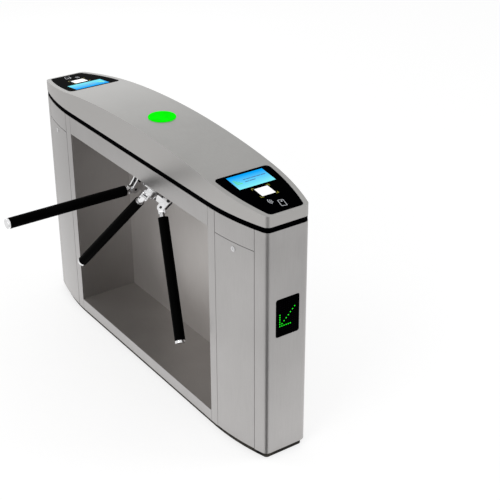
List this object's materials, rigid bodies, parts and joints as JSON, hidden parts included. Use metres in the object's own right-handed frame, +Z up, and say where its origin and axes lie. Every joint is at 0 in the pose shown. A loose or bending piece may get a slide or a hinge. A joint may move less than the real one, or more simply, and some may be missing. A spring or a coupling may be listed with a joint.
{
  "type": "tripod turnstile",
  "caption": "Long bow-sided steel gate cabinet with an open recess, a slanted rotary hub with drop arms, an arched lift-up lid with reader glasses, and lockable service doors.",
  "frame": {"origin": "on the floor, in the middle of the four floor anchor holes", "axes": "+X along the cabinet to its near end, the arms stand out to -Y, +Z up"},
  "size_m": [1.51, 0.7647, 1.002],
  "materials": {
    "panel_steel": "brushed stainless steel, grain along the cabinet",
    "recess_steel": "brushed stainless steel, darker in the recess",
    "frame_paint": "satin dark grey paint on welded tube",
    "plinth_paint": "matte black powder coat",
    "trim_black": "satin black trim",
    "glass_black": "glossy black toughened glass",
    "window_black": "glossy smoked plastic",
    "board": "circuit board laminate",
    "lens_green": "glossy green lens, lit from behind",
    "mech_steel": "machined steel",
    "cast_alloy": "machined alloy casting",
    "hub_steel": "polished stainless steel",
    "pin_steel": "ground steel pin",
    "pin_black": "black oxide steel",
    "arm_steel": "stainless steel tube",
    "sleeve_black": "satin black plastic sleeve",
    "cap_chrome": "polished chrome",
    "unit_case": "dark grey moulded case",
    "module_case": "black moulded case",
    "lock_chrome": "bright plated brass"
  },
  "bodies": {
    "cabinet": {"base_frame": "plinth_paint", "near_frame": "frame_paint", "far_frame": "frame_paint", "beam_frame": "frame_paint", "near_end_skin": "panel_steel", "far_end_skin": "panel_steel", "front_fascia": "panel_steel", "front_sill": "panel_steel", "back_panel": "panel_steel", "upper_side_panels": "panel_steel", "recess_jambs": "panel_steel", "recess_back": "recess_steel", "recess_floor": "recess_steel", "recess_ceiling": "recess_steel", "trim_band": "trim_black", "arrow_windows": "window_black", "arrow_boards": "board", "mech_frame": "mech_steel", "mech_cover": "recess_steel", "bearing_housing": "cast_alloy", "spindle_bearings": "pin_steel", "housing_bolts": "pin_steel", "lock_solenoids": "frame_paint", "control_unit": "unit_case", "power_supply": "unit_case", "lid_hinge_pins": "pin_steel", "door_hinge_pins": "pin_steel"},
    "lid": {"lid_shell": "panel_steel", "near_reader_glass": "glass_black", "far_reader_glass": "glass_black", "display_modules": "board", "scanner_modules": "module_case", "card_readers": "board", "status_lens": "lens_green", "status_board": "board"},
    "near_door_body": {"near_door": "panel_steel", "near_lock_barrel": "lock_chrome"},
    "far_door_body": {"far_door": "panel_steel", "far_lock_barrel": "lock_chrome"},
    "near_lock": {"near_lock_plug": "lock_chrome"},
    "far_lock": {"far_lock_plug": "lock_chrome"},
    "hub": {"hub_head": "hub_steel", "hub_cap": "hub_steel", "spindle": "mech_steel", "spindle_nut": "pin_steel", "index_disc": "mech_steel", "arm_pins": "pin_black"},
    "barrier_arm_a": {"arm_a": "arm_steel", "sleeve_a": "sleeve_black", "end_cap_a": "cap_chrome"},
    "barrier_arm_b": {"arm_b": "arm_steel", "sleeve_b": "sleeve_black", "end_cap_b": "cap_chrome"},
    "barrier_arm_c": {"arm_c": "arm_steel", "sleeve_c": "sleeve_black", "end_cap_c": "cap_chrome"},
    "near_pawl_body": {"near_pawl": "mech_steel"},
    "far_pawl_body": {"far_pawl": "mech_steel"},
    "near_plunger_body": {"near_plunger": "pin_steel"},
    "far_plunger_body": {"far_plunger": "pin_steel"}
  },
  "joints": [
    {"name": "hub_spin", "type": "hinge", "parent": "cabinet", "child": "hub", "pos_m": [0, -0.0267, 0.7554], "axis": [0, 0.7071, 0.7071], "continuous": true},
    {"name": "arm_a_drop", "type": "hinge", "parent": "hub", "child": "barrier_arm_a", "pos_m": [0, -0.12852, 0.7554], "axis": [1, 0, 0], "range_deg": [0, 90]},
    {"name": "arm_b_drop", "type": "hinge", "parent": "hub", "child": "barrier_arm_b", "pos_m": [0.06235, -0.05216, 0.67903], "axis": [-0.5, 0.6124, -0.6124], "range_deg": [0, 45]},
    {"name": "arm_c_drop", "type": "hinge", "parent": "hub", "child": "barrier_arm_c", "pos_m": [-0.06235, -0.05216, 0.67903], "axis": [-0.5, -0.6124, 0.6124], "range_deg": [0, 45]},
    {"name": "lid_open", "type": "hinge", "parent": "cabinet", "child": "lid", "pos_m": [0, 0.1335, 0.892], "axis": [-1, 0, 0], "range_deg": [0, 70]},
    {"name": "near_door_tilt", "type": "hinge", "parent": "cabinet", "child": "near_door_body", "pos_m": [0.61129, -0.10295, 0.035], "axis": [0.9885, 0.1513, 0], "range_deg": [0, 25]},
    {"name": "far_door_tilt", "type": "hinge", "parent": "cabinet", "child": "far_door_body", "pos_m": [-0.61129, -0.10295, 0.035], "axis": [0.9885, -0.1513, 0], "range_deg": [0, 25]},
    {"name": "near_lock_turn", "type": "hinge", "parent": "near_door_body", "child": "near_lock", "pos_m": [0.6125, -0.11582, 0.771], "axis": [0.1505, -0.9886, 0], "range_deg": [0, 90]},
    {"name": "far_lock_turn", "type": "hinge", "parent": "far_door_body", "child": "far_lock", "pos_m": [-0.6125, -0.11582, 0.771], "axis": [0.1505, 0.9886, 0], "range_deg": [0, 90]},
    {"name": "near_pawl_swing", "type": "hinge", "parent": "cabinet", "child": "near_pawl_body", "pos_m": [0.062, -0.01892, 0.82823], "axis": [0, 0.7071, 0.7071], "range_deg": [0, 12], "stiffness_Nm_per_rad": 0.3, "springref_deg": -11.46},
    {"name": "far_pawl_swing", "type": "hinge", "parent": "cabinet", "child": "far_pawl_body", "pos_m": [-0.062, -0.01892, 0.82823], "axis": [0, -0.7071, -0.7071], "range_deg": [0, 12], "stiffness_Nm_per_rad": 0.3, "springref_deg": -11.46},
    {"name": "near_plunger_pull", "type": "slide", "parent": "cabinet", "child": "near_plunger_body", "axis": [0, 0.7071, -0.7071], "range_m": [0, 0.00461]},
    {"name": "far_plunger_pull", "type": "slide", "parent": "cabinet", "child": "far_plunger_body", "axis": [0, 0.7071, -0.7071], "range_m": [0, 0.00461]}
  ],
  "couplings": [
    {"joint": "near_plunger_pull", "follows": "near_pawl_swing", "m_per_rad": 0.022},
    {"joint": "far_plunger_pull", "follows": "far_pawl_swing", "m_per_rad": 0.022}
  ]
}
